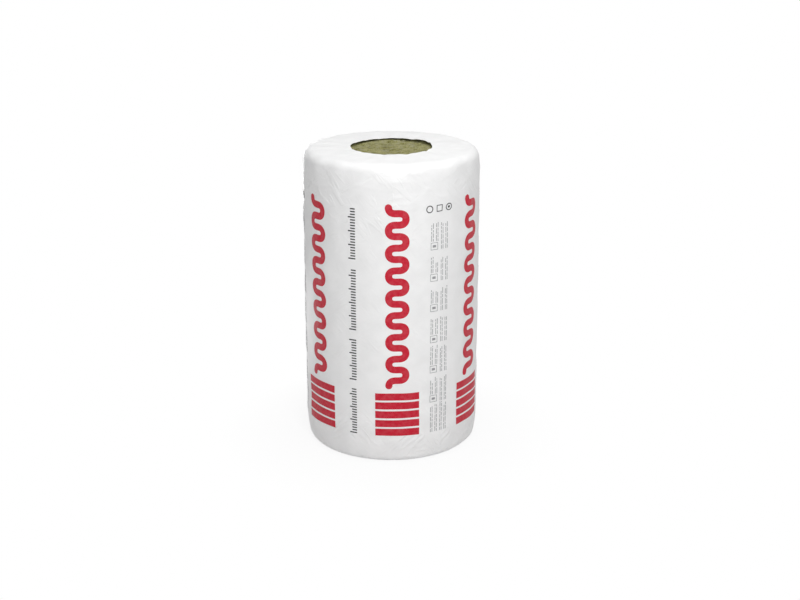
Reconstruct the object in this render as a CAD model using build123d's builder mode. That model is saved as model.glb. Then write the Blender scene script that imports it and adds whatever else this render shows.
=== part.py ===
from build123d import *
from math import cos, radians, sin
import os

# A roll of stone wool insulation, standing on its end in its printed wrap.
# One long blanket of wool is wound on itself with no core, and a sleeve of
# white polyethylene film is shrunk round it. The film covers the side, turns
# over both shoulders and leaves a round opening on each end, where the turns
# of the wool show. The origin is at the middle of the base, with Z up.

# Driving dimensions, in millimetres and degrees.
roll_diameter = 582.0
blanket_width = 1000.0
film_thickness = 0.5
film_clearance = 0.3

# Each end turns into the side by a tight arc, and then by a long flank arc that
# is nearly straight, because the film pulls hardest at the rim. The angle is how
# far the tight arc turns, and the flank turns the rest of the way to the side.
top_shoulder_radius = 30.0
top_shoulder_angle = 82.0
top_flank_radius = 400.0
base_shoulder_radius = 30.0
base_shoulder_angle = 80.0
base_flank_radius = 435.0

# The opening that the shrunk film leaves on each end, and its thickened rim.
opening_diameter = 269.0
hem_width = 2.4

# The wool under each opening lies a little below the film, and rises to meet it.
dish_depth = 7.0
dish_floor_diameter = 344.0
dish_slope_width = 30.0

# The winding: the blanket's thickness in the roll, the seam between its turns,
# and the closed eye where the winding starts.
wound_thickness = 78.0
seam_width = 7.0
seam_depth = 9.0
eye_diameter = 15.0
eye_depth = 11.0

# Worked out from the above.
roll_radius = roll_diameter / 2
opening_radius = opening_diameter / 2
wool_inset = film_thickness + film_clearance
roll_height = blanket_width + 2 * wool_inset
half_turn_growth = wound_thickness / 2


def shoulder(tight_radius, tight_angle, flank_radius, inset):
    """Five points down a shoulder that is set in from the roll's outside all round.

    They are the tight arc's start, middle and end, and the flank arc's middle and
    end. Each is given by its distance from the axis and its distance from the end.
    """
    across = sin(radians(tight_angle))
    along = cos(radians(tight_angle))
    tight_centre = (
        roll_radius - tight_radius * across - flank_radius * (1 - across),
        tight_radius,
    )
    flank_centre = (
        roll_radius - flank_radius,
        tight_radius * (1 - along) + flank_radius * along,
    )
    turns = (
        (tight_centre, tight_radius, 0),
        (tight_centre, tight_radius, tight_angle / 2),
        (tight_centre, tight_radius, tight_angle),
        (flank_centre, flank_radius, (tight_angle + 90) / 2),
        (flank_centre, flank_radius, 90),
    )
    return [
        (
            centre[0] + (radius - inset) * sin(radians(angle)),
            centre[1] - (radius - inset) * cos(radians(angle)),
        )
        for centre, radius, angle in turns
    ]


def base_shoulder(inset):
    """The shoulder at the base."""
    return shoulder(base_shoulder_radius, base_shoulder_angle, base_flank_radius, inset)


def top_shoulder(inset):
    """The shoulder at the top, with its distances from the top."""
    return shoulder(top_shoulder_radius, top_shoulder_angle, top_flank_radius, inset)


def from_top(points):
    """The same points with their distances from the top turned to heights."""
    return [(radius, roll_height - distance) for radius, distance in points]


def crushed(shoulder_points):
    """A shoulder as three flats, two for the tight arc and one for the flank.

    The wool is like this, because the blanket's edge is crushed there.
    """
    tight_start, tight_middle, tight_end, _, flank_end = shoulder_points
    return [tight_start, tight_middle, tight_end, flank_end]


def film_outside():
    """The film's outside from the base opening over both shoulders to the top opening."""
    base = base_shoulder(0)
    top = from_top(top_shoulder(0))
    Line((opening_radius, 0), base[0])
    ThreePointArc(base[0], base[1], base[2])
    ThreePointArc(base[2], base[3], base[4])
    Line(base[4], top[4])
    ThreePointArc(top[4], top[3], top[2])
    ThreePointArc(top[2], top[1], top[0])
    Line(top[0], (opening_radius, roll_height))


def film_inside():
    """The film's inside, which lies on the wool's crushed shoulders, and its edge at each opening."""
    base = crushed(base_shoulder(film_thickness))
    top = from_top(crushed(top_shoulder(film_thickness)))
    Polyline(
        (opening_radius, 0),
        (opening_radius, film_thickness),
        *base,
        *reversed(top),
        (opening_radius, roll_height - film_thickness),
        (opening_radius, roll_height),
    )


def wool_end(shoulder_points):
    """One end of the wool from the axis to its side: its eye, dish, flat and shoulder."""
    floor = wool_inset + dish_depth
    eye_radius = eye_diameter / 2
    dish_radius = dish_floor_diameter / 2
    return [
        (0, floor + eye_depth),
        (eye_radius, floor + eye_depth),
        (eye_radius, floor),
        (dish_radius, floor),
        (dish_radius + dish_slope_width, wool_inset),
        *crushed(shoulder_points),
    ]


def seam_half_turns():
    """The winding as half circles about two centres, each half a blanket wider than the last.

    Each is given by its centre and by where it starts, both along X. The first
    starts on the axis, and each of the others where the one before it ends. The
    last is the one that runs out under the film, past which no seam shows.
    """
    half_turns = []
    radius = half_turn_growth / 2
    side = 1
    while radius - half_turn_growth / 2 < opening_radius:
        centre = -side * half_turn_growth / 2
        half_turns.append((centre, centre + side * radius))
        radius += half_turn_growth
        side = -side
    return half_turns


# The wool: one turned solid, dished at both ends, with the closed eye of the
# winding on its axis. The seam between its turns is then cut into each end as a
# narrow valley that winds out from the eye, half a turn at a time.
with BuildPart() as wool_roll:
    with BuildSketch(Plane.XZ):
        with BuildLine():
            base_end = wool_end(base_shoulder(wool_inset))
            top_end = from_top(wool_end(top_shoulder(wool_inset)))
            Polyline(*base_end, *reversed(top_end), close=True)
        make_face()
    revolve(axis=Axis.Z)
    for end_height, inward in ((wool_inset, 1), (roll_height - wool_inset, -1)):
        point_height = end_height + inward * (dish_depth + seam_depth)
        for centre, start in seam_half_turns():
            with BuildSketch(Plane.XZ):
                with BuildLine():
                    Polyline(
                        (start - seam_width / 2, end_height),
                        (start, point_height),
                        (start + seam_width / 2, end_height),
                        close=True,
                    )
                make_face()
            revolve(
                axis=Axis((centre, 0, 0), (0, 0, 1)),
                revolution_arc=180,
                mode=Mode.SUBTRACT,
            )

# The film: a thin sleeve round the wool, open on both ends, with the rim of each
# opening drawn up into a thicker hem as the film shrinks. Its outside is rounded,
# and its inside lies on the wool's flats, so it is a little thicker over them.
with BuildPart() as film_wrap:
    with BuildSketch(Plane.XZ):
        with BuildLine():
            film_outside()
            film_inside()
        make_face()
        with Locations(
            (opening_radius, hem_width / 2), (opening_radius, roll_height - hem_width / 2)
        ):
            Rectangle(hem_width, hem_width)
    revolve(axis=Axis.Z)

wool_roll.part.label = "wool_roll"
film_wrap.part.label = "film_wrap"

os.makedirs("parts", exist_ok=True)
export_step(wool_roll.part, "parts/wool_roll.step")
export_step(film_wrap.part, "parts/film_wrap.step")
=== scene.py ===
import math
from functools import partial

import bpy
import numpy as np
from bpy.props import FloatProperty, FloatVectorProperty, IntProperty, PointerProperty
from mathutils import Euler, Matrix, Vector


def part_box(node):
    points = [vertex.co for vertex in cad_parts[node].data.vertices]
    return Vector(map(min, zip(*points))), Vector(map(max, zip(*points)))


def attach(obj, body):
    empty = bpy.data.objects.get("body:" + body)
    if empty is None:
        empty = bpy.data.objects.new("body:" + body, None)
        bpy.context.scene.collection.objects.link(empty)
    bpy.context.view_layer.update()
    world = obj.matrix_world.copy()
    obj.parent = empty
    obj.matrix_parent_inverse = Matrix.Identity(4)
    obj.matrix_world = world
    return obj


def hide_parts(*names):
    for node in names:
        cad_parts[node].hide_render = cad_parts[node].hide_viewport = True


bl_info = {
    "name": "Insulation Roll",
    "version": (1, 0, 0),
    "blender": (4, 5, 0),
    "location": "3D View > Sidebar > Insulation",
    "description": "Dresses a wound stone wool roll in its shrunk and printed film",
    "category": "Add Mesh",
}

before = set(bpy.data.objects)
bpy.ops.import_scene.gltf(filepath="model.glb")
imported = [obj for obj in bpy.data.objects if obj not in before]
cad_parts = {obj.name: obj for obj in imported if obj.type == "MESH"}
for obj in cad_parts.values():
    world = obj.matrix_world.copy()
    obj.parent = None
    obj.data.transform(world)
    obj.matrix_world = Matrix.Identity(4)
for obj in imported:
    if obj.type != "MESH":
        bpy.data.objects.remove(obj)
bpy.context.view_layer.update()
film_low, film_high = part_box("film_wrap")

ROLL_RADIUS = (film_high.x - film_low.x) / 2
ROLL_HEIGHT = film_high.z - film_low.z
MM = 0.001
QUARTER = math.pi / 2

# How strong the film's sharp creases are, by the share of the roll's height.
CREASE_STRENGTH = (
    (0.0, 0.7), (0.1, 0.9), (0.2, 0.4), (0.7, 0.3), (0.84, 0.6), (0.89, 0.85), (0.94, 0.5), (1.0, 0.3)
)

# The wider creases, which are in the film's mesh: how many there are, their height as a share of the
# film's setting, and the ranges of their half lengths and widths in mm and of their leans in degrees.
TOP_CREASES = dict(seed=13, count=110, rise=1.0, long=(25, 80), wide=(3.5, 7), leans=(-35, 35))
SIDE_CREASES = dict(seed=14, count=40, rise=0.6, long=(30, 110), wide=(7, 11), leans=(-65, 65))
BASE_CREASES = dict(seed=15, count=60, rise=0.7, long=(25, 80), wide=(4.5, 8), leans=(-40, 40))
WELD_CREASES = dict(seed=17, count=70, rise=0.8, long=(18, 55), wide=(4, 7), leans=(-20, 20))

# The seeds that the two ends of the wool are drawn from.
TOP_SEED, BASE_SEED = 21, 22


def linear(code):
    """The linear colour of an sRGB hex value."""
    parts = (int(code[place:place + 2], 16) / 255 for place in (1, 3, 5))
    return tuple(part / 12.92 if part <= 0.04045 else ((part + 0.055) / 1.055) ** 2.4 for part in parts)


def colour(name, description, code):
    """A colour property whose default is an sRGB hex value."""
    return FloatVectorProperty(
        name=name, description=description, subtype="COLOR", size=3, min=0, max=1, default=linear(code)
    )


def length(name, description, size):
    """A length property, whose default is given in millimetres."""
    return FloatProperty(
        name=name, description=description, unit="LENGTH", subtype="DISTANCE", precision=5, default=size * MM
    )


def angle(name, description, degrees):
    """An angle property."""
    return FloatProperty(
        name=name, description=description, unit="ROTATION", subtype="ANGLE", default=math.radians(degrees)
    )


def power(name, description, watts):
    """A lamp's power."""
    return FloatProperty(name=name, description=description, unit="POWER", default=watts)


def plain(name, description, default):
    """A number without a unit."""
    return FloatProperty(name=name, description=description, default=default)


class FilmSettings(bpy.types.PropertyGroup):
    """The shrunk film sleeve"""

    opening_radius: length("Opening", "Radius of the opening left on each end", 134.5)
    top_tight_radius: length("Top shoulder", "Radius of the top shoulder's tight arc", 30)
    top_tight_angle: angle("Top shoulder turn", "How far the top shoulder's tight arc turns", 82)
    top_flank_radius: length("Top flank", "Radius of the long arc below the top shoulder", 400)
    base_tight_radius: length("Base shoulder", "Radius of the base shoulder's tight arc", 30)
    base_tight_angle: angle("Base shoulder turn", "How far the base shoulder's tight arc turns", 80)
    base_flank_radius: length("Base flank", "Radius of the long arc above the base shoulder", 435)
    wall: length("Wall", "Thickness of the film's edge beside its rim", 0.6)
    hidden_wall: length("Hidden wall", "Thickness of the shell where only its outside shows", 3.5)
    rim_bead: length("Rim", "Thickness of the rim drawn up round each opening", 2.2)
    lip: length("Lip", "How far the film stands up beside its rim", 2.0)
    rim_wander: length("Rim wander", "How far the rim strays from a circle", 1.5)
    rim_slack: length("Rim slack", "How far the top rim hangs back where the film is slack", 11)
    slack_angle: angle("Slack", "Where the top rim is slack, from the front round to the right", 130)
    swell: length("Swell", "Height of the soft unevenness that the wool gives the film", 0.7)
    gathers: length("Gathers", "Height of the radial gathers round each opening", 0.6)
    creases: length("Creases", "Height of the shrink creases", 0.8)
    lap_angle: angle("Lap", "Where the film's edge laps over, from the front round to the right", 165)
    lap_rise: length("Lap rise", "How far the lap's edge stands up", 0.9)
    lap_width: length("Lap width", "How far one edge of the film laps over the other", 50)
    columns: IntProperty(name="Columns", description="Columns of faces round the roll", default=400)
    colour: colour("Film", "Colour of the film", "#F1F1F1")
    shade: colour("Slack film", "Colour of the film where it lies slack", "#EDEDED")


class WoolSettings(bpy.types.PropertyGroup):
    """The wound blanket of stone wool"""

    dish: length("Dish", "How far the wool lies below the film's end", 7.5)
    core_depth: length("Core depth", "Depth of the hollow where the winding starts", 1.5)
    edge_fall: length("Edge fall", "How far the wool falls away under the film's rim", 4)
    rear_dip: length("Rear dip", "How far the wool sinks at the rear, left and right", 2.5)
    turn: length("Turn", "Thickness of the blanket in the roll", 78)
    seam_depth: length("Seam depth", "Depth of the valley between two turns", 3.2)
    seam_width: length("Seam width", "Width of the valley between two turns", 4.5)
    crown: length("Crown", "How far the middle of a turn stands above its edges", 1.2)
    swell: length("Swell", "Height of the broad unevenness of the cut edge", 1.3)
    lumps: length("Lumps", "Height of the lumps on the cut edge", 0.8)
    tufts: length("Tufts", "Height of the torn tufts on the cut edge", 0.45)
    strands: IntProperty(name="Strands", description="Loose strands of fibre on each end", default=1100)
    strand_reach: length("Strand length", "Length of the longest loose strand", 16)
    strand_width: length("Strand width", "Width of a strand, a small bundle of fibres", 0.6)
    colour: colour("Wool", "Main colour of the fibre", "#898757")
    pale: colour("Pale wool", "Colour of the paler fibre", "#A4A178")
    # The dark wool colour is both the darker fibre of the random mottle and the painted shade in the seams
    # and the core.
    dark: colour("Dark wool", "Colour of the fibre in shade", "#59552A")
    grey: colour("Grey wool", "Colour of the greyer patches, where the binder lies thin", "#9C9982")


class InkSettings(bpy.types.PropertyGroup):
    """The print on the film"""

    repeat: angle("Repeat", "How far round the roll one repeat of the print reaches", 116)
    start: angle("Start", "Where the first repeat starts, from the front round to the right", -170.4)
    scale: angle("Scale", "How far the scale of ticks stands beyond its repeat's start", 28.9)
    small: angle("Small print", "How far the small print stands beyond its repeat's start", 85.7)
    lift: length("Lift", "How far the ink stands off the film", 0.4)
    wall: length("Ink", "Thickness of the ink", 0.1)
    red: colour("Red", "Colour of the red ink", "#C00F2C")
    dark: colour("Dark", "Colour of the dark ink", "#2E2E30")
    grey: colour("Grey", "Colour of the grey ink", "#97989A")


class StudioSettings(bpy.types.PropertyGroup):
    """The floor, the lamps and the camera"""

    floor_colour: colour("Floor", "Colour of the floor", "#E8E8E8")
    floor_glow: plain("Floor glow", "White that the camera sees by the roll", 0.87)
    glow_start: length("Glow start", "How far from the axis the floor starts to turn quite white", 280)
    glow_end: length("Glow end", "How far from the axis the floor is quite white", 600)
    sky: plain("Sky", "Strength of the even light all round", 0.21)
    top_power: power("Top lamp", "Power of the lamp overhead", 43)
    front_power: power("Front lamp", "Power of the lamp beside the camera", 109)
    edge_power: power("Edge lamp", "Power of the small low lamp that lifts the roll's left edge", 0.8)
    back_power: power("Back lamp", "Power of the low lamp behind the roll", 22)
    camera_distance: length("Camera distance", "From the roll's axis to the camera", 4473)
    camera_height: length("Camera height", "Height of the camera above the floor", 1929.6)
    camera_pitch: angle("Camera pitch", "How far the camera looks down", 18.037)
    camera_turn: angle("Camera turn", "How far the camera looks to the right of the axis", 0.367)
    camera_lens: plain("Lens", "Focal length in mm on a 36 mm sensor", 62.46)


class RollSettings(bpy.types.PropertyGroup):
    """Everything that a user would change"""

    film: PointerProperty(type=FilmSettings)
    wool: PointerProperty(type=WoolSettings)
    ink: PointerProperty(type=InkSettings)
    studio: PointerProperty(type=StudioSettings)


def add_node(tree, kind, inputs=(), stops=(), **settings):
    """Adds a node with its settings and links, and a ramp's stops, each a place with a grey or a colour.

    Its inputs are given by name, or in order. Each is a value, another node's socket, or another
    node, whose first output is then linked.
    """
    node = tree.nodes.new("ShaderNode" + kind)
    for name, value in settings.items():
        setattr(node, name, value)
    if stops:
        elements = node.color_ramp.elements
        while len(elements) < len(stops):
            elements.new(1.0)
        for element, (place, shade) in zip(elements, stops):
            element.position = place
            element.color = (*np.broadcast_to(shade, 3), 1.0)
    for name, value in inputs.items() if isinstance(inputs, dict) else enumerate(inputs):
        if isinstance(value, bpy.types.Node):
            value = value.outputs[0]
        if isinstance(value, bpy.types.NodeSocket):
            tree.links.new(value, node.inputs[name])
        else:
            node.inputs[name].default_value = value
    return node


def new_material(name):
    """A material, the function that adds a node to it, and the place on the object that patterns read."""
    material = bpy.data.materials.new(name)
    material.use_nodes = True
    material.node_tree.nodes.clear()
    add = partial(add_node, material.node_tree)
    return material, add, add("TexCoord").outputs["Object"]


def leaning_creases(add, place, lean):
    """Thin ridged noise, drawn out along lines that climb the roll with a lean, with no seam round it.

    The turn round the roll is its angle plus the height times the lean's tangent over the radius.
    The noise is read at its sine and cosine, times the radius, and at under half the height, which
    draws it out.
    """
    apart = add("SeparateXYZ", {"Vector": place})
    east, north, height = (apart.outputs[axis] for axis in "XYZ")
    before = add("Math", (north, -1.0), operation="MULTIPLY")
    turned = add("Math", (east, before), operation="ARCTAN2")
    turned = add("Math", (height, math.tan(lean) / ROLL_RADIUS, turned), operation="MULTIPLY_ADD")
    drawn = {"Z": add("Math", (height, 0.45), operation="MULTIPLY")}
    for axis, wave in (("X", "SINE"), ("Y", "COSINE")):
        wave = add("Math", (turned,), operation=wave)
        drawn[axis] = add("Math", (wave, ROLL_RADIUS), operation="MULTIPLY")
    drawn = add("CombineXYZ", drawn)
    crests = {"Vector": drawn, "Scale": 1 / (30 * MM), "Detail": 1.0, "Offset": 0.9, "Gain": 2.0}
    return add("TexNoise", crests, noise_type="RIDGED_MULTIFRACTAL")


def film_normal(add, place, lap_angle):
    """The film's fine relief, which the ink on it shares: creases, puckers, small pits and the lap.

    The creases are crests of ridged noise: broad ones, and long thin ones that lean one way in
    some patches and the other way in the rest. Only the tops of the thin ones are kept, so that
    the film is smooth between them. They are strong at the shoulders and faint between. The pits
    of real film are too fine to show in the render, so they are drawn much coarser.
    """
    height = add("SeparateXYZ", {"Vector": place}).outputs["Z"]
    share = add("Math", (height, 1 / ROLL_HEIGHT), operation="MULTIPLY")
    strength = add("ValToRGB", {"Fac": share}, CREASE_STRENGTH)
    patches = add("TexNoise", {"Vector": place, "Scale": 1 / (110 * MM), "Detail": 1.0})
    patches = add("ValToRGB", {"Fac": patches}, ((0.4, 0.35), (0.6, 1.0)))
    strength = add("Math", (strength, patches), operation="MULTIPLY")
    squashed = add("Mapping", {"Vector": place, "Scale": (1, 1, 1.7)})
    broad = {"Vector": squashed, "Scale": 1 / (60 * MM), "Detail": 2.0, "Offset": 0.9, "Gain": 1.5}
    broad = add("TexNoise", broad, noise_type="RIDGED_MULTIFRACTAL")
    side = add("TexNoise", {"Vector": place, "Scale": 1 / (75 * MM), "Detail": 0.0})
    side = add("ValToRGB", {"Fac": side}, ((0.47, 0.0), (0.53, 1.0)))
    right, left = (leaning_creases(add, place, math.radians(lean)) for lean in (-50, 38))
    thin = add("Mix", {"Factor": side, "A": left, "B": right})
    thin = add("ValToRGB", {"Fac": thin}, ((0.68, 0.0), (0.95, 1.0)))
    crinkle = add("TexNoise", {"Vector": squashed, "Scale": 1 / (9 * MM), "Detail": 4.0, "Roughness": 0.55})
    pits = add("TexNoise", {"Vector": place, "Scale": 1 / (2.2 * MM), "Detail": 2.0})
    relief = ((strength, 0.75, broad), (strength, 1.25, thin), (0.4, 0.5, crinkle), (0.25, 0.08, pits))
    under = {}
    for amount, rise, pattern in relief:
        bump = {"Strength": amount, "Distance": rise * MM, "Height": pattern, **under}
        under = {"Normal": add("Bump", bump)}
    return crinkle, lap_normal(add, place, lap_angle, under)


def lap_normal(add, place, lap_angle, under):
    """The edge of the film's lap as a sharp step down, and behind it the ribbed line of its weld."""
    edge_half, weld_back, weld_half, rib_pitch = 0.5 * MM, 14 * MM, 3 * MM, 4 * MM
    turned = add("Mapping", {"Vector": place, "Rotation": (0, 0, -lap_angle)})
    apart = add("SeparateXYZ", {"Vector": turned})
    past, beyond, height = (apart.outputs[axis] for axis in "XYZ")
    here = add("MapRange", {"Value": beyond, "From Min": -0.2, "From Max": 0, "To Min": 1, "To Max": 0})
    edge = {"Value": past, "From Min": -edge_half, "From Max": edge_half, "To Min": 1, "To Max": 0}
    edge = add("MapRange", edge)
    weld = add("Math", (past, -weld_back, weld_half), operation="COMPARE")
    ribs = add("Math", (height, math.tau / rib_pitch), operation="MULTIPLY")
    ribs = add("Math", (ribs,), operation="SINE")
    ribs = add("Math", (ribs, 0.2, 0.3), operation="MULTIPLY_ADD")
    pressed = add("Math", (weld, ribs), operation="MULTIPLY")
    step = add("Math", (edge, pressed), operation="SUBTRACT")
    step = add("Math", (here, step), operation="MULTIPLY")
    return add("Bump", {"Strength": 1.0, "Distance": 0.6 * MM, "Height": step, **under})


def film_material(film):
    """Low density polyethylene, blown white and heat shrunk: a soft gloss that fine crinkles break up."""
    material, add, place = new_material("shrunk_white_polyethylene")
    slack = add("TexNoise", {"Vector": place, "Scale": 1 / (55 * MM), "Detail": 2.0})
    crinkle, normal = film_normal(add, place, film.lap_angle)
    skin = {
        "Base Color": add("ValToRGB", {"Fac": slack}, ((0.35, film.shade), (0.6, film.colour))),
        "Roughness": add("MapRange", {"Value": crinkle, "To Min": 0.34, "To Max": 0.46}),
        "IOR": 1.51,
        "Normal": normal,
    }
    add("OutputMaterial", {"Surface": add("BsdfPrincipled", skin)})
    return material


def wool_material(wool, name="spun_stone_wool", paler=0.0):
    """Stone wool, spun and felted, its cut edge on show: matt, mottled, streaked along the turns.

    It is olive where the binder is thick, and greyer in patches where it is thin. Its fibres are
    under a hundredth of a millimetre thick, which is too fine to show, so the streaks, specks and
    hair are drawn as coarse as small bundles of them.
    """
    material, add, place = new_material(name)
    winding = add("Attribute", attribute_name="winding").outputs["Vector"]
    drawn = add("Mapping", {"Vector": winding, "Scale": (1, 0.14, 1)})
    seam = add("Attribute", attribute_name="seam").outputs["Fac"]
    # Each pattern's coordinates, the size of its lumps in mm, its detail and its roughness.
    patterns = {
        "streaks": (drawn, 4.5, 4.0, 0.65),
        "clumps": (place, 26, 3.0, 0.5),
        "specks": (place, 3.2, 3.0, 0.7),
        "patches": (place, 19, 3.0, 0.6),
        "hair": (drawn, 1.6, 5.0, 0.75),
    }
    for key, (vector, size, detail, rough) in patterns.items():
        pattern = {"Vector": vector, "Scale": 1 / (size * MM), "Detail": detail, "Roughness": rough}
        patterns[key] = add("TexNoise", pattern)
    mottle = add("Math", (patterns["streaks"], patterns["clumps"]), operation="ADD")
    mottle = add("Math", (mottle, patterns["specks"]), operation="ADD")
    # Painted shade: the seam attribute darkens the colour in the seam valleys and the core hollow. Paler
    # lifts the colour; on the loose strands it is partly paler fibre and partly painted highlight.
    shaded = add("Math", (seam, -0.12, paler), operation="MULTIPLY_ADD")
    shaded = add("Math", (mottle, 1 / 3, shaded), operation="MULTIPLY_ADD")
    hue = add("ValToRGB", {"Fac": shaded}, ((0.4, wool.dark), (0.48, wool.colour), (0.61, wool.pale)))
    thin = add("ValToRGB", {"Fac": patterns["patches"]}, ((0.5, 0.0), (0.68, 0.75)))
    fibre = {
        "Base Color": add("MixRGB", {"Fac": thin, "Color1": hue, "Color2": (*wool.grey, 1.0)}),
        "Roughness": 0.95,
        "Specular IOR Level": 0.2,
        "Normal": add("Bump", {"Strength": 1.0, "Distance": 1.2 * MM, "Height": patterns["hair"]}),
    }
    add("OutputMaterial", {"Surface": add("BsdfPrincipled", fibre)})
    return material


def ink_material(name, shade, lap_angle):
    """Flexographic ink on film: the film's soft gloss, a little paler where the ink lay thin."""
    material, add, place = new_material(name)
    thin = add("TexNoise", {"Vector": place, "Scale": 1 / (14 * MM), "Detail": 4.0, "Roughness": 0.6})
    paler = [0.95 * part + 0.05 * 0.8 for part in shade]
    ink = {
        "Base Color": add("ValToRGB", {"Fac": thin}, ((0.4, shade), (0.75, paler))),
        "Roughness": 0.5,
        "IOR": 1.5,
        "Specular IOR Level": 0.3,
        "Normal": film_normal(add, place, lap_angle)[1],
    }
    add("OutputMaterial", {"Surface": add("BsdfPrincipled", ink)})
    return material


def grid_faces(rows, columns, first=0, close_rows=False, close_columns=False):
    """Four corners for each cell of a grid of points, whose last row or column may join its first."""
    row = np.arange(rows if close_rows else rows - 1)
    column = np.arange(columns if close_columns else columns - 1)
    row, column = np.meshgrid(row, column, indexing="ij")
    here, below = row * columns, (row + 1) % rows * columns
    beside = (column + 1) % columns
    corners = (here + column, below + column, below + beside, here + beside)
    return np.stack(corners, axis=-1).reshape(-1, 4) + first


def fan_faces(centre, ring):
    """Triangles from one point to each side of a closed ring."""
    return np.stack([np.full(len(ring), centre), ring, np.roll(ring, -1)], axis=-1)


def make_piece(name, points, faces, material, smooth=True):
    """A mesh object at the origin, from an array of points and blocks of faces."""
    mesh = bpy.data.meshes.new(name)
    counts = np.concatenate([np.full(len(block), block.shape[1]) for block in faces])
    corners = np.concatenate([block.ravel() for block in faces])
    mesh.vertices.add(len(points))
    mesh.vertices.foreach_set("co", np.ascontiguousarray(points, dtype=np.float32).ravel())
    mesh.loops.add(len(corners))
    mesh.loops.foreach_set("vertex_index", corners.astype(np.int32))
    mesh.polygons.add(len(counts))
    mesh.polygons.foreach_set("loop_start", np.concatenate([[0], np.cumsum(counts)[:-1]]).astype(np.int32))
    mesh.polygons.foreach_set("use_smooth", np.full(len(counts), smooth))
    mesh.update(calc_edges=True)
    mesh.validate()
    mesh.materials.append(material)
    piece = bpy.data.objects.new(name, mesh)
    bpy.context.scene.collection.objects.link(piece)
    return piece


def set_attribute(piece, name, kind, values):
    """Stores one value for each point of a piece, for its material to read."""
    attribute = piece.data.attributes.new(name, kind, "POINT")
    key = "vector" if kind == "FLOAT_VECTOR" else "value"
    attribute.data.foreach_set(key, np.ascontiguousarray(values, dtype=np.float32).ravel())


def around(radius, turned, height):
    """Points by their distance from the axis, their turn from the front round to the right, and height."""
    radius, turned, height = np.broadcast_arrays(radius, turned, height)
    return np.stack([radius * np.sin(turned), -radius * np.cos(turned), height], axis=-1)


def smooth_step(value):
    """A smooth rise from 0 to 1 while the value goes from 0 to 1."""
    value = np.clip(value, 0, 1)
    return value * value * (3 - 2 * value)


def waves(along, turned, seed, sizes, count=40):
    """Soft unevenness about 1 high: plane waves in random directions, each whole round the roll."""
    draw = np.random.default_rng(seed)
    size = sizes[0] * (sizes[1] / sizes[0]) ** draw.random(count)
    lean = draw.random(count) * math.pi
    round_roll = np.round(math.tau * ROLL_RADIUS / size * np.cos(lean))
    along_line = math.tau / size * np.sin(lean)
    start = draw.random(count) * math.tau
    total = np.zeros(np.broadcast(along, turned).shape)
    for turns, rate, offset in zip(round_roll, along_line, start):
        total += np.cos(turns * turned + rate * along + offset)
    return total * math.sqrt(2 / count)


def ridges(along, turned, zone, seed, count, rise, long, wide, leans, turns=(0, math.tau)):
    """Creases up to rise high: each a narrow ridge, bent a little, that dies away to its ends.

    Across a ridge the height falls off as a bell curve, and along it as a smooth hump.
    """
    draw = np.random.default_rng(seed)
    total = np.zeros(np.broadcast(along, turned).shape)
    for _ in range(count):
        right = ((turned - draw.uniform(*turns) + math.pi) % math.tau - math.pi) * ROLL_RADIUS
        down = along - draw.uniform(*zone)
        lean = math.radians(draw.uniform(*leans))
        reach, width = draw.uniform(*long) * MM, draw.uniform(*wide) * MM
        onward = right * math.cos(lean) + down * math.sin(lean)
        bend = draw.uniform(-1.5, 1.5)
        aside = down * math.cos(lean) - right * math.sin(lean) - bend * onward ** 2
        hump = 1 - smooth_step(np.abs(onward) / reach)
        total += draw.uniform(0.35, 1.0) * hump * np.exp(-((aside / width) ** 2))
    return rise * total


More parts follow.
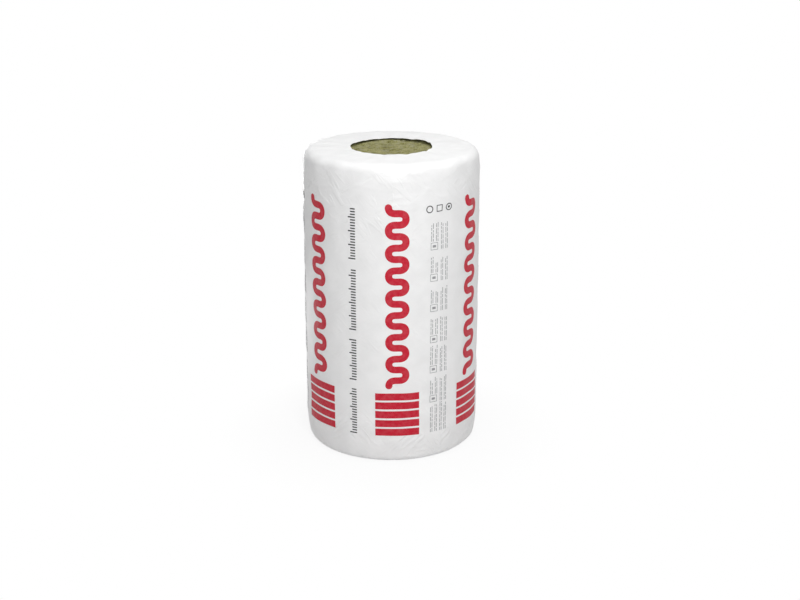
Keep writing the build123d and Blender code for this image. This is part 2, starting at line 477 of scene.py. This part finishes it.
class FilmSurface:
    """The film's outside: a line in section carried round the axis, with a relief on it.

    The line runs from the rim of the top opening to the rim of the base opening. Its heading is
    level on the ends and straight down on the side, and turns evenly along each arc. So the
    heading is a broken line over the length, and the place is its running sum. Its knots are the
    ends of its seven stretches: end, tight arc, flank arc, side, flank arc, tight arc and end.
    """

    # The steps of the running sum, the most that the relief stands off the line, how far from a rim
    # its lip and its strays reach, and how far round the roll the slack does, in radians.
    step = 0.25 * MM
    relief_limit = 3 * MM
    lip_reach = 8 * MM
    stray_reach = 45 * MM
    slack_reach = 0.38

    def __init__(self, film):
        self.film = film
        top_turn, base_turn = film.top_tight_angle, film.base_tight_angle
        top_in, top_down = self.shoulder(film.top_tight_radius, top_turn, film.top_flank_radius)
        base_in, base_up = self.shoulder(film.base_tight_radius, base_turn, film.base_flank_radius)
        lengths = (
            ROLL_RADIUS - top_in - film.opening_radius,
            film.top_tight_radius * top_turn,
            film.top_flank_radius * (QUARTER - top_turn),
            ROLL_HEIGHT - top_down - base_up,
            film.base_flank_radius * (QUARTER - base_turn),
            film.base_tight_radius * base_turn,
            ROLL_RADIUS - base_in - film.opening_radius,
        )
        headings = (0, 0, top_turn, QUARTER, QUARTER, math.pi - base_turn, math.pi, math.pi)
        self.knots = np.concatenate([[0], np.cumsum(lengths)])
        self.lengths = np.arange(0, self.knots[7] + self.step, self.step)
        self.headings = np.interp(self.lengths, self.knots, headings)
        middle = (self.headings[1:] + self.headings[:-1]) / 2
        self.radii = film.opening_radius + np.concatenate([[0], np.cumsum(np.cos(middle) * self.step)])
        self.heights = ROLL_HEIGHT - np.concatenate([[0], np.cumsum(np.sin(middle) * self.step)])
        self.stations = self.spread_stations()
        self.turned = np.linspace(-math.pi, math.pi, film.columns, endpoint=False)
        self.reliefs = self.relief(self.stations[:, None], self.turned[None, :])

    @staticmethod
    def shoulder(tight_radius, tight_angle, flank_radius):
        """How far in from the side, and how far along the axis, a shoulder's two arcs reach."""
        across, along = math.sin(tight_angle), math.cos(tight_angle)
        return (
            tight_radius * across + flank_radius * (1 - across),
            tight_radius * (1 - along) + flank_radius * along,
        )

    def spread_stations(self):
        """Places for the rows of faces along the line, closest where it bends and creases most."""
        knots = self.knots
        below_top, above_base = knots[3] + 100 * MM, knots[4] - 70 * MM
        ends = (*knots[:3], below_top, above_base, *knots[5:])
        counts = (22, 12, 40, 80, 36, 10, 12)
        spans = zip(ends[:-1], ends[1:], counts)
        rows = [np.linspace(start, end, count, endpoint=False) for start, end, count in spans]
        return np.concatenate([*rows, [knots[7]]])

    def relief(self, along, turned):
        """How far the film stands off its plain line: the sum of swell, gathers, creases, lip and lap.

        The gathers are waves round the roll that grow towards its ends, the lip is a bell curve of
        the distance from a rim, and the lap rises smoothly to its edge. A hyperbolic tangent holds
        the sum under its limit. Where the film rests on the floor, all of it goes inward.
        """
        film, knots = self.film, self.knots
        swell = film.swell * waves(along, turned, 11, (70 * MM, 240 * MM))
        draw, count = np.random.default_rng(12), 26
        gathers = np.zeros(np.broadcast(along, turned).shape)
        for turns in draw.integers(9, 34, count):
            gathers += np.cos(turns * (turned + draw.uniform(-1.2, 1.2) * along) + draw.random() * math.tau)
        from_base = (knots[7] - along) / (knots[7] - knots[4])
        to_end = np.maximum(1 - smooth_step(along / knots[3]), 1 - smooth_step(from_base))
        gathers *= film.gathers * to_end * math.sqrt(2 / count)
        top_zone, side = (knots[2] - 10 * MM, knots[3] + 60 * MM), (knots[3], knots[4])
        base_zone = (knots[4] - 50 * MM, knots[5] - 10 * MM)
        by_weld = (film.lap_angle - 0.16, film.lap_angle + 0.08)
        creases = ridges(along, turned, top_zone, **TOP_CREASES)
        creases += ridges(along, turned, side, **SIDE_CREASES)
        creases += ridges(along, turned, base_zone, **BASE_CREASES)
        creases += ridges(along, turned, side, **WELD_CREASES, turns=by_weld)
        from_rim = np.minimum(along, knots[7] - along)
        lip = film.lip * np.exp(-((from_rim / self.lip_reach) ** 2))
        back_from_lap = (film.lap_angle - turned) % math.tau * ROLL_RADIUS
        lap = film.lap_rise * (1 - smooth_step(back_from_lap / film.lap_width))
        relief = swell + gathers + film.creases * creases + lip + lap
        relief = self.relief_limit * np.tanh(relief / self.relief_limit)
        resting = smooth_step((along - knots[5]) / (knots[6] - knots[5]))
        return relief * (1 - resting) - resting * np.abs(relief)

    def relief_at(self, along, turned):
        """The relief between rows and columns, as evenly as the faces between them run."""
        along, turned = np.broadcast_arrays(along, turned)
        row = np.interp(along, self.stations, np.arange(len(self.stations)))
        column = (turned + math.pi) % math.tau / math.tau * self.film.columns
        upper = np.minimum(row.astype(int), len(self.stations) - 2)
        left = column.astype(int) % self.film.columns
        right = (left + 1) % self.film.columns
        down, across = row - upper, column - np.floor(column)
        above = self.reliefs[upper, left] * (1 - across) + self.reliefs[upper, right] * across
        below = self.reliefs[upper + 1, left] * (1 - across) + self.reliefs[upper + 1, right] * across
        return above * (1 - down) + below * down

    def place(self, along, turned, lift=0.0):
        """Distance from the axis and height, for places on the film moved outward by lift.

        Near a rim the distance also strays by a sum of waves round the roll, and near the top
        rim by a bell curve of the turn, where that rim hangs back.
        """
        radius, height, heading = (
            np.interp(along, self.lengths, values) for values in (self.radii, self.heights, self.headings)
        )
        off = self.relief_at(along, turned) + lift
        draw = np.random.default_rng(16)
        wander = np.zeros(np.broadcast(along, turned).shape)
        for turns in range(3, 18):
            wander += np.cos(turns * turned + draw.random() * math.tau) * draw.uniform(0.5, 1) * 2 / turns
        from_rim = np.minimum(along, self.knots[7] - along)
        aside = (turned - self.film.slack_angle + math.pi) % math.tau - math.pi
        slack = np.exp(-((aside / self.slack_reach) ** 2)) * (along < self.knots[3])
        stray = self.film.rim_wander * wander + self.film.rim_slack * slack
        radius = radius + stray * (1 - smooth_step(from_rim / self.stray_reach))
        return radius + off * np.sin(heading), height + off * np.cos(heading)

    def rim(self, along, upward):
        """Rows round a rim's bead: a half circle in section, from its outside to its inside."""
        half_turn = np.linspace(0, math.pi, 7)[1:-1, None]
        radius, height = self.place(np.full((1, 1), along), self.turned[None, :])
        bead = self.film.rim_bead / 2
        inward, back = bead * np.sin(half_turn), bead * (1 - np.cos(half_turn))
        return around(radius - inward, self.turned[None, :], height - upward * back)

    def length_at(self, height):
        """Length along the line down to a height on the side."""
        side = (self.lengths > self.knots[1]) & (self.lengths < self.knots[6])
        return np.interp(-np.asarray(height), -self.heights[side], self.lengths[side])


class ROLL_OT_film_sleeve(bpy.types.Operator):
    """Make the shrunk film sleeve: its line carried round the axis, with swell, gathers and creases"""

    bl_idname = "insulation_roll.film_sleeve"
    bl_label = "Film sleeve"

    def execute(self, context):
        film = context.scene.insulation_roll.film
        surface = FilmSurface(film)
        turned = surface.turned[None, :]
        radius, height = surface.place(surface.stations[:, None], turned)
        outer = around(radius, turned, height)
        radius, height = surface.place(*self.inside(surface, film))
        inner = around(radius, turned, height)
        base_rim = surface.rim(surface.knots[7], -1)
        top_rim = surface.rim(surface.knots[0], 1)[::-1]
        points = np.concatenate([outer, base_rim, inner, top_rim])
        faces = grid_faces(len(points), film.columns, close_rows=True, close_columns=True)
        piece = make_piece("film_sleeve", points.reshape(-1, 3), [faces], film_material(film))
        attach(piece, "root")
        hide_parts("film_wrap")
        return {"FINISHED"}

    @staticmethod
    def inside(surface, film):
        """The rows of the film's inside, from the base up, and how far they lie in from its outside.

        The wall is thin beside each rim and thickens smoothly out of sight. At the rim itself it
        thickens by a bell curve to the width of the bead.
        """
        knots = surface.knots
        near = np.array([0, 1, 2.5, 5, 10, 20, 40]) * MM
        side = np.linspace(knots[3], knots[4], 5)
        bends = [(knots[1] + knots[2]) / 2, knots[2], *side, knots[5], (knots[5] + knots[6]) / 2]
        rows = np.concatenate([near, [knots[1]], bends, [knots[6]], knots[7] - near[::-1]])[::-1, None]
        from_rim = np.minimum(rows, knots[7] - rows)
        wall = film.wall + (film.hidden_wall - film.wall) * smooth_step((from_rim - 10 * MM) / (30 * MM))
        wall = wall + (film.rim_bead - film.wall) * np.exp(-((from_rim / (2 * MM)) ** 2))
        return rows, surface.turned[None, :], -wall


def winding_place(east, north, turn):
    """Where a place on the end lies in the winding: the distances across and along the blanket, and
    how far the nearest seam is.

    The seam is half circles about two centres on X, half a turn's thickness apart. Behind the axis
    their radii are a quarter, one and a quarter, ... of that thickness, and before it three
    quarters, one and three quarters, ... The distance along the blanket is the number of turns
    made, times the length of a middling turn.
    """
    behind = north >= 0
    centre = np.where(behind, -turn / 4, turn / 4)
    first = np.where(behind, turn / 4, 3 * turn / 4)
    phase = (np.hypot(east - centre, north) - first) / turn
    made = np.arctan2(north, east - centre) % math.tau / math.tau
    middling = math.tau * turn
    away = np.abs(phase - np.maximum(np.round(phase), 0)) * turn
    return phase % 1 * turn, (np.floor(phase) + made) * middling, away


def ripples(east, north, draw, sizes, count=44):
    """Unevenness about 1 high: plane waves in random directions."""
    total = np.zeros(east.shape)
    for _ in range(count):
        size = sizes[0] * (sizes[1] / sizes[0]) ** draw.random()
        lean = draw.random() * math.tau
        place = east * math.cos(lean) + north * math.sin(lean)
        total += np.cos(math.tau / size * place + draw.random() * math.tau)
    return total * math.sqrt(2 / count)


def bell(east, north, middle, reach):
    """A bell curve of two ways: one at its middle, and falling off over its reach each way."""
    return np.exp(-(((east - middle[0]) / reach[0]) ** 2) - ((north - middle[1]) / reach[1]) ** 2)


def wool_end(wool, turned, radius, seed):
    """How far an end of the wool stands proud of its level, how much painted shade its seam and core get, and
    its winding.

    A turn rises smoothly from its seams to its middle, and ripples of three sizes are added. The
    seam is a valley that falls off as a bell curve of the distance from it, deeper and shallower
    by turns. The core, the dips and the mound are bell curves too.
    """
    east, north = radius * np.sin(turned), -radius * np.cos(turned)
    draw = np.random.default_rng(seed)
    across, along, away = winding_place(east, north, wool.turn)
    rise = wool.crown * smooth_step(away / (wool.turn / 2))
    for height, least, most in ((wool.swell, 60, 160), (wool.lumps, 11, 34), (wool.tufts, 4.5, 10)):
        rise = rise + height * ripples(east, north, draw, (least * MM, most * MM))
    broken = 0.55 + 0.45 * np.clip(ripples(east, north, draw, (25 * MM, 70 * MM)), -1, 1)
    seam = broken * np.exp(-((away / wool.seam_width) ** 2) * 3)
    core = bell(east, north, (-16 * MM, 0), (13 * MM, 42 * MM))
    rise = rise - wool.seam_depth * seam - wool.core_depth * core
    rise = rise - wool.edge_fall * smooth_step((radius - 122 * MM) / (26 * MM))
    dip = bell(np.abs(east), north, (95 * MM, 75 * MM), (40 * MM, 50 * MM))
    mound = bell(east, north, (5 * MM, 118 * MM), (38 * MM, 35 * MM))
    rise = rise + wool.rear_dip * (1.6 * mound - dip)
    return rise, np.maximum(seam, 0.7 * core), np.stack([across, along, 0 * along], axis=-1)


class ROLL_OT_wool_blanket(bpy.types.Operator):
    """Make the wound wool: one turned solid whose ends show the turns of the blanket"""

    bl_idname = "insulation_roll.wool_blanket"
    bl_label = "Wool blanket"
    # The faces round the roll, out from its axis and down its hidden side, the radius of each end,
    # how far under the film the hidden side lies, and how far in from the shoulders it starts.
    columns = 400
    rings = 76
    hidden_rows = 26
    end_radius = 152 * MM
    inset = 5 * MM
    under_end = 50 * MM

    def execute(self, context):
        settings = context.scene.insulation_roll
        wool, surface = settings.wool, FilmSurface(settings.film)
        turned = np.linspace(-math.pi, math.pi, self.columns, endpoint=False)[None, :]
        radii = np.linspace(0, self.end_radius, self.rings + 1)[1:, None]
        top_rise, top_seam_shade, top_winding = wool_end(wool, turned, radii, TOP_SEED)
        base_rise, base_seam_shade, base_winding = wool_end(wool, turned, radii, BASE_SEED)
        top = around(radii, turned, ROLL_HEIGHT - wool.dish + top_rise)
        base = around(radii, turned, wool.dish - base_rise)[::-1]
        ends = surface.knots[1] - self.under_end, surface.knots[6] + self.under_end
        hidden = np.linspace(*ends, self.hidden_rows)[:, None]
        radius, height, heading = (
            np.interp(hidden, surface.lengths, values)
            for values in (surface.radii, surface.heights, surface.headings)
        )
        radius, height = radius - self.inset * np.sin(heading), height - self.inset * np.cos(heading)
        body = around(radius, turned, height)
        grid = np.concatenate([top, body, base])
        middles = [[0, 0, top[0, :, 2].mean()], [0, 0, base[-1, :, 2].mean()]]
        ring, count = np.arange(self.columns), len(grid) * self.columns
        faces = [
            grid_faces(len(grid), self.columns, close_columns=True),
            fan_faces(count, ring),
            fan_faces(count + 1, (ring + count - self.columns)[::-1]),
        ]
        points = np.concatenate([grid.reshape(-1, 3), middles])
        piece = make_piece("wool_blanket", points, faces, wool_material(wool))
        # The seam attribute is painted shade: the colour darkens in the seam valleys, the core hollow and at
        # the two middle points of the ends.
        seam = np.concatenate([top_seam_shade, np.zeros((len(body), self.columns)), base_seam_shade[::-1]]).ravel()
        set_attribute(piece, "seam", "FLOAT", np.concatenate([seam, [1, 1]]))
        winding = np.concatenate([top_winding, np.zeros(body.shape), base_winding[::-1]]).reshape(-1, 3)
        set_attribute(piece, "winding", "FLOAT_VECTOR", np.concatenate([winding, np.zeros((2, 3))]))
        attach(piece, "root")
        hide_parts("wool_roll")
        return {"FINISHED"}


class ROLL_OT_loose_strands(bpy.types.Operator):
    """Make the loose strands: thin bent bundles of fibre that lie on both ends, mostly along the turns"""

    bl_idname = "insulation_roll.loose_strands"
    bl_label = "Loose strands"
    # How far from the axis the strands start, how deep their ends are set in the wool, and how far
    # they turn off the way round, and as they run, in radians.
    start_within = 139 * MM
    set_in = 0.4 * MM
    stray, bend = 0.55, 1.1

    def execute(self, context):
        wool = context.scene.insulation_roll.wool
        top = self.strands(wool, TOP_SEED, ROLL_HEIGHT - wool.dish, 1)
        base = self.strands(wool, BASE_SEED, wool.dish, -1)
        points = np.concatenate([top, base])
        count, rings = points.shape[:2]
        cap = np.array([[0, 1, 2]])
        one = [grid_faces(rings, 3, close_columns=True)[:, ::-1], cap[:, ::-1], cap + 3 * (rings - 1)]
        starts = 3 * rings * np.arange(count)[:, None, None]
        faces = [(block + starts).reshape(-1, block.shape[1]) for block in one]
        # The loose strands are drawn paler: partly paler loose fibre, partly painted highlight on the raised
        # strands.
        fibre = wool_material(wool, "loose_stone_fibre", paler=0.07)
        piece = make_piece("loose_strands", points.reshape(-1, 3), faces, fibre)
        tone = np.random.default_rng(43).random((count, 1, 1, 3)) * np.ones((count, rings, 3, 3))
        set_attribute(piece, "winding", "FLOAT_VECTOR", tone)
        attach(piece, "root")
        return {"FINISHED"}

    @classmethod
    def strands(cls, wool, seed, level, upward):
        """Points of each strand, as rings of three round its middle line.

        The middle line is a run of short steps whose heading turns evenly. It starts in the wool,
        arches up out of it by the sine of its share, and goes back in. Its width does the same.
        """
        draw = np.random.default_rng(seed + 20)
        count = wool.strands
        share = np.linspace(0, 1, 7)
        radius = cls.start_within * np.sqrt(draw.random(count))
        turned = draw.uniform(-math.pi, math.pi, count)
        heading = turned[:, None] + draw.normal(0, cls.stray, (count, 1))
        heading = heading + draw.normal(0, cls.bend, (count, 1)) * (share - 0.5)
        step = wool.strand_reach * draw.uniform(0.3, 1, (count, 1)) * (share[1] - share[0])
        east = (radius * np.sin(turned))[:, None] + np.cumsum(np.cos(heading) * step, axis=1)
        north = (-radius * np.cos(turned))[:, None] + np.cumsum(np.sin(heading) * step, axis=1)
        away = np.hypot(east, north)
        surface = wool_end(wool, np.arctan2(east, -north), away, seed)[0]
        arch = np.sin(math.pi * share)
        rise = surface - cls.set_in + arch * draw.uniform(0.6, 1.9, (count, 1)) * MM
        half = wool.strand_width / 2 * (0.15 + 0.85 * np.sqrt(arch)) * draw.uniform(0.5, 1, (count, 1))
        corner = math.tau / 3 * np.arange(3)
        aside, above = half[..., None] * np.cos(corner), half[..., None] * np.sin(corner)
        line = np.stack([east, north, level + upward * rise], axis=-1)[:, :, None, :]
        across = np.stack([-np.sin(heading), np.cos(heading), 0 * heading], axis=-1)[:, :, None, :]
        return line + across * aside[..., None] + above[..., None] * np.array([0, 0, 1])


class InkSheet:
    """Patches of ink gathered into one mesh, all given in millimetres.

    Each is laid on the film by how far it is right of a column, which is turned round the roll,
    and by how high it stands.
    """

    # The longest side of a bar's faces, and the rows of faces in one loop of a band.
    cell = 5 * MM
    loop_rows = 44

    def __init__(self, settings):
        self.ink = settings.ink
        self.surface = FilmSurface(settings.film)
        self.points, self.faces, self.count = [], [], 0

    def columns(self, beyond):
        """Where a column that stands this far beyond the start of the print's repeat is, in each repeat."""
        return self.ink.start + beyond + self.ink.repeat * np.arange(int(math.tau / self.ink.repeat))

    def lay(self, turned, right, height, closed=False):
        """Lays a grid of places on the film."""
        swing = turned + right * MM / ROLL_RADIUS
        radius, height = self.surface.place(self.surface.length_at(height * MM), swing, self.ink.lift)
        self.faces.append(grid_faces(*right.shape, first=self.count, close_columns=closed))
        self.points.append(around(radius, swing, height).reshape(-1, 3))
        self.count += right.size

    def bar(self, turned, middle, low, wide, high):
        """A plain rectangle, whose middle is right of its column."""
        across, up = (max(2, math.ceil(size * MM / self.cell) + 1) for size in (wide, high))
        right = np.linspace(middle - wide / 2, middle + wide / 2, across)
        self.lay(turned, *np.meshgrid(right, np.linspace(low + high, low, up)))

    def outline(self, turned, middle, low, wide, high, thick):
        """A rectangle drawn as four bars."""
        self.bar(turned, middle, low, wide, thick)
        self.bar(turned, middle, low + high - thick, wide, thick)
        for side in (-1, 1):
            self.bar(turned, middle + side * (wide - thick) / 2, low + thick, thick, high - 2 * thick)

    def ring(self, turned, middle, centre, outer, inner):
        """A ring, or a disc when its inner radius is nearly nothing."""
        swing, reach = np.meshgrid(np.linspace(0, math.tau, 32, endpoint=False), np.linspace(inner, outer, 3))
        self.lay(turned, middle + reach * np.cos(swing), centre + reach * np.sin(swing), closed=True)

    def loops(self, turned, low, high, wide, stroke, count):
        """A band that swings from side to side in round loops, as batts are hatched on a drawing.

        Its middle line goes across as a cosine, and up evenly with a double sine added, which
        rounds the loops. The band is that line carried out to both sides, with round ends, which
        stop just short of a point, where faces would have no area.
        """
        swing = np.linspace(0, count * math.tau, count * self.loop_rows + 1)
        reach = (wide - stroke) / 2
        rise = (high - low) / (count * math.tau)
        bulge = 0.52 * rise
        right = -reach * np.cos(swing)
        height = low + rise * swing + bulge * np.sin(2 * swing)
        slope_right = reach * np.sin(swing)
        slope_up = rise + 2 * bulge * np.cos(2 * swing)
        size = np.hypot(slope_right, slope_up)
        slope_right, slope_up = slope_right / size, slope_up / size
        cap = np.linspace(0.98 * QUARTER, 0, 6)[:-1]
        onward = np.concatenate([-np.sin(cap), 0 * swing, np.sin(cap[::-1])]) * stroke / 2
        share = np.concatenate([np.cos(cap), 0 * swing + 1, np.cos(cap[::-1])])
        right, height, slope_right, slope_up = (
            np.pad(values, len(cap), mode="edge") for values in (right, height, slope_right, slope_up)
        )
        right, height = right + onward * slope_right, height + onward * slope_up
        across = share * np.linspace(-stroke / 2, stroke / 2, 6)[:, None]
        self.lay(turned, right + across * slope_up, height - across * slope_right)

    def finish(self, name, ink_name, shade):
        """Makes the mesh, gives the ink its thickness and parents the piece to the root body."""
        material = ink_material(ink_name, shade, self.surface.film.lap_angle)
        piece = make_piece(name, np.concatenate(self.points), self.faces, material, smooth=False)
        wall = piece.modifiers.new("ink", "SOLIDIFY")
        wall.thickness = self.ink.wall
        wall.offset = -1
        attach(piece, "root")


class ROLL_OT_red_print(bpy.types.Operator):
    """Print the red columns: a looped band over a stack of bars, two in each repeat"""

    bl_idname = "insulation_roll.red_print"
    bl_label = "Red print"

    def execute(self, context):
        settings = context.scene.insulation_roll
        sheet = InkSheet(settings)
        for turned in (*sheet.columns(0), *sheet.columns(settings.ink.repeat / 2)):
            sheet.loops(turned, low=275, high=868, wide=78, stroke=23, count=8)
            for low in range(100, 225, 31):
                sheet.bar(turned, middle=0, low=low, wide=145, high=24.5)
        sheet.finish("red_print", "red_flexo_ink", settings.ink.red)
        return {"FINISHED"}


class ROLL_OT_dark_print(bpy.types.Operator):
    """Print the dark marks: a scale of ticks in four runs, and three small marks, in each repeat"""

    bl_idname = "insulation_roll.dark_print"
    bl_label = "Dark print"
    # In mm: where each run of ticks starts and ends, how wide and how far apart the ticks are, and
    # how high the marks' middles stand.
    runs = ((100, 254), (287, 423), (458, 664), (695, 861))
    long_tick, short_tick, tick_pitch = 25, 17, 9
    marks_height = 857

    def execute(self, context):
        settings = context.scene.insulation_roll
        sheet = InkSheet(settings)
        for scale, marks in zip(sheet.columns(settings.ink.scale), sheet.columns(settings.ink.small)):
            for low, high in self.runs:
                for number, height in enumerate(range(low, high, self.tick_pitch)):
                    wide = self.long_tick if number % 5 == 0 else self.short_tick
                    sheet.bar(scale, middle=(self.long_tick - wide) / 2, low=height, wide=wide, high=4)
            sheet.ring(marks, middle=-36, centre=self.marks_height, outer=12, inner=9)
            sheet.outline(marks, middle=0, low=self.marks_height - 11, wide=22, high=22, thick=2.5)
            sheet.ring(marks, middle=36, centre=self.marks_height, outer=12, inner=9)
            sheet.ring(marks, middle=36, centre=self.marks_height, outer=4, inner=0.1)
        sheet.finish("dark_print", "black_flexo_ink", settings.ink.dark)
        return {"FINISHED"}


class ROLL_OT_small_print(bpy.types.Operator):
    """Print the grey blocks: seven in each repeat, thin broken lines beside a small box"""

    bl_idname = "insulation_roll.small_print"
    bl_label = "Small print"
    # In mm: where each block starts and ends, and how far right of the column its lines stand.
    blocks = ((101, 203), (206, 294), (308, 405), (412, 508), (518, 602), (619, 702), (723, 820))
    lines = (-28, -22, -11, -5, 8, 14, 25, 31)
    # How many of the lines stand over the box. Then in mm: how high the box is, how uneven the
    # lines' tops are, the range of a word's length, the least that a word or the gap over the box
    # is, and the gap after a word.
    over_box = 4
    box_high = 24
    uneven = 18
    words = (8, 22)
    least = 4
    gap = 3

    def execute(self, context):
        settings = context.scene.insulation_roll
        sheet = InkSheet(settings)
        draw = np.random.default_rng(31)
        for turned in sheet.columns(settings.ink.small):
            for low, high in self.blocks:
                boxed = low > self.blocks[0][0]
                if boxed:
                    sheet.outline(turned, middle=-18, low=low, wide=26, high=self.box_high, thick=1.6)
                    sheet.bar(turned, middle=-18, low=low + 8, wide=12, high=8)
                for number, middle in enumerate(self.lines):
                    over = boxed and number < self.over_box
                    foot = low + self.box_high + self.least if over else low
                    top = high - draw.uniform(0, self.uneven)
                    while foot < top - self.least:
                        word = min(draw.uniform(*self.words), top - foot)
                        sheet.bar(turned, middle, foot, wide=2.2, high=word)
                        foot += word + self.gap
        sheet.finish("small_print", "grey_flexo_ink", settings.ink.grey)
        return {"FINISHED"}


def white_to_camera(add, lit, glow):
    """Mixes white into a lit shader, as far as glow says, for what the camera or a reflection sees of it."""
    path = add("LightPath")
    seen = path.outputs["Is Camera Ray"]
    for name in ("Is Glossy Ray", "Is Transmission Ray"):
        seen = add("Math", (seen, path.outputs[name]), operation="MAXIMUM")
    seen = add("Math", (seen, glow), operation="MULTIPLY")
    white = "Background" if lit.type == "BACKGROUND" else "Emission"
    white = add(white, {"Color": (1, 1, 1, 1), "Strength": 1.0})
    return add("MixShader", (seen, lit, white))


def add_lamp(name, place, aim, size, watts):
    """A square area lamp at a place, turned to its aim."""
    lamp = bpy.data.lights.new(name, "AREA")
    lamp.size = size
    lamp.energy = watts
    item = bpy.data.objects.new(name, lamp)
    item.location = place
    item.rotation_euler = (Vector(aim) - Vector(place)).to_track_quat("-Z", "Y").to_euler()
    bpy.context.scene.collection.objects.link(item)


class ROLL_OT_studio(bpy.types.Operator):
    """Make the stage: a white floor that keeps the shadow, soft lamps, an even sky and the camera"""

    bl_idname = "insulation_roll.studio"
    bl_label = "Studio"

    def execute(self, context):
        studio = context.scene.insulation_roll.studio
        self.make_floor(studio)
        self.make_sky(studio)
        middle = (0, 0, ROLL_HEIGHT / 2)
        add_lamp("top_lamp", (0.2, -0.4, 3.2), (0, 0, ROLL_HEIGHT), 2.4, studio.top_power)
        add_lamp("front_lamp", (0.6, -4.2, 2.4), middle, 1.6, studio.front_power)
        add_lamp("edge_lamp", (-0.85, 0.55, 0.15), (-0.28, 0.05, 0.2), 0.35, studio.edge_power)
        add_lamp("back_lamp", (-0.9, 3.3, 0.45), (0, 0, 0.45), 1.0, studio.back_power)
        self.make_camera(studio)
        context.scene.view_settings.view_transform = "Standard"
        return {"FINISHED"}

    def make_floor(self, studio):
        """Matt white studio paper, rolled out flat: without gloss, and shaded only by the roll."""
        material, add, place = new_material("matt_studio_paper")
        away = add("VectorMath", (place,), operation="LENGTH").outputs["Value"]
        glow = {"Value": away, "From Min": studio.glow_start, "From Max": studio.glow_end}
        glow = add("MapRange", {**glow, "To Min": studio.floor_glow})
        lit = add("BsdfDiffuse", {"Color": (*studio.floor_colour, 1.0), "Roughness": 1.0})
        add("OutputMaterial", {"Surface": white_to_camera(add, lit, glow)})
        reach, below = 30.0, -0.5 * MM
        corners = np.array([[-1, -1, 0], [1, -1, 0], [1, 1, 0], [-1, 1, 0]]) * reach + [0, 0, below]
        floor = make_piece("floor", corners, [np.array([[0, 1, 2, 3]])], material, smooth=False)

    def make_sky(self, studio):
        """An even sky, white to the camera."""
        world = bpy.data.worlds.new("even_sky")
        world.use_nodes = True
        world.node_tree.nodes.clear()
        add = partial(add_node, world.node_tree)
        sky = add("Background", {"Color": (1, 1, 1, 1), "Strength": studio.sky})
        add("OutputWorld", {"Surface": white_to_camera(add, sky, 1.0)})
        bpy.context.scene.world = world

    def make_camera(self, studio):
        """The camera, before the roll and above it, looking down and a little to the right."""
        camera = bpy.data.cameras.new("camera")
        camera.lens = studio.camera_lens
        camera.sensor_width = 36
        item = bpy.data.objects.new("camera", camera)
        item.location = (0, -studio.camera_distance, studio.camera_height)
        item.rotation_euler = Euler((QUARTER - studio.camera_pitch, 0, -studio.camera_turn))
        bpy.context.scene.collection.objects.link(item)
        bpy.context.scene.camera = item


class ROLL_PT_panel(bpy.types.Panel):
    """Lists what the roll is made of"""

    bl_idname = "ROLL_PT_panel"
    bl_label = "Insulation roll"
    bl_space_type = "VIEW_3D"
    bl_region_type = "UI"
    bl_category = "Insulation"

    def draw(self, context):
        settings = context.scene.insulation_roll
        for operator in OPERATORS:
            self.layout.operator(operator.bl_idname)
        for name in ("film", "wool", "ink", "studio"):
            group = getattr(settings, name)
            box = self.layout.box()
            box.label(text=group.__doc__)
            for key in group.__annotations__:
                box.prop(group, key)


OPERATORS = (
    ROLL_OT_film_sleeve,
    ROLL_OT_wool_blanket,
    ROLL_OT_loose_strands,
    ROLL_OT_red_print,
    ROLL_OT_dark_print,
    ROLL_OT_small_print,
    ROLL_OT_studio,
)
CLASSES = (
    FilmSettings,
    WoolSettings,
    InkSettings,
    StudioSettings,
    RollSettings,
    *OPERATORS,
    ROLL_PT_panel,
)


def register():
    """Registers the settings, the operators and the panel."""
    for item in CLASSES:
        bpy.utils.register_class(item)
    bpy.types.Scene.insulation_roll = PointerProperty(type=RollSettings)


def unregister():
    """Takes back what register added."""
    del bpy.types.Scene.insulation_roll
    for item in reversed(CLASSES):
        bpy.utils.unregister_class(item)


def main():
    """Makes the roll and its stage."""
    register()
    bpy.ops.insulation_roll.film_sleeve()
    bpy.ops.insulation_roll.wool_blanket()
    bpy.ops.insulation_roll.loose_strands()
    bpy.ops.insulation_roll.red_print()
    bpy.ops.insulation_roll.dark_print()
    bpy.ops.insulation_roll.small_print()
    bpy.ops.insulation_roll.studio()


if __name__ == "__main__":
    main()
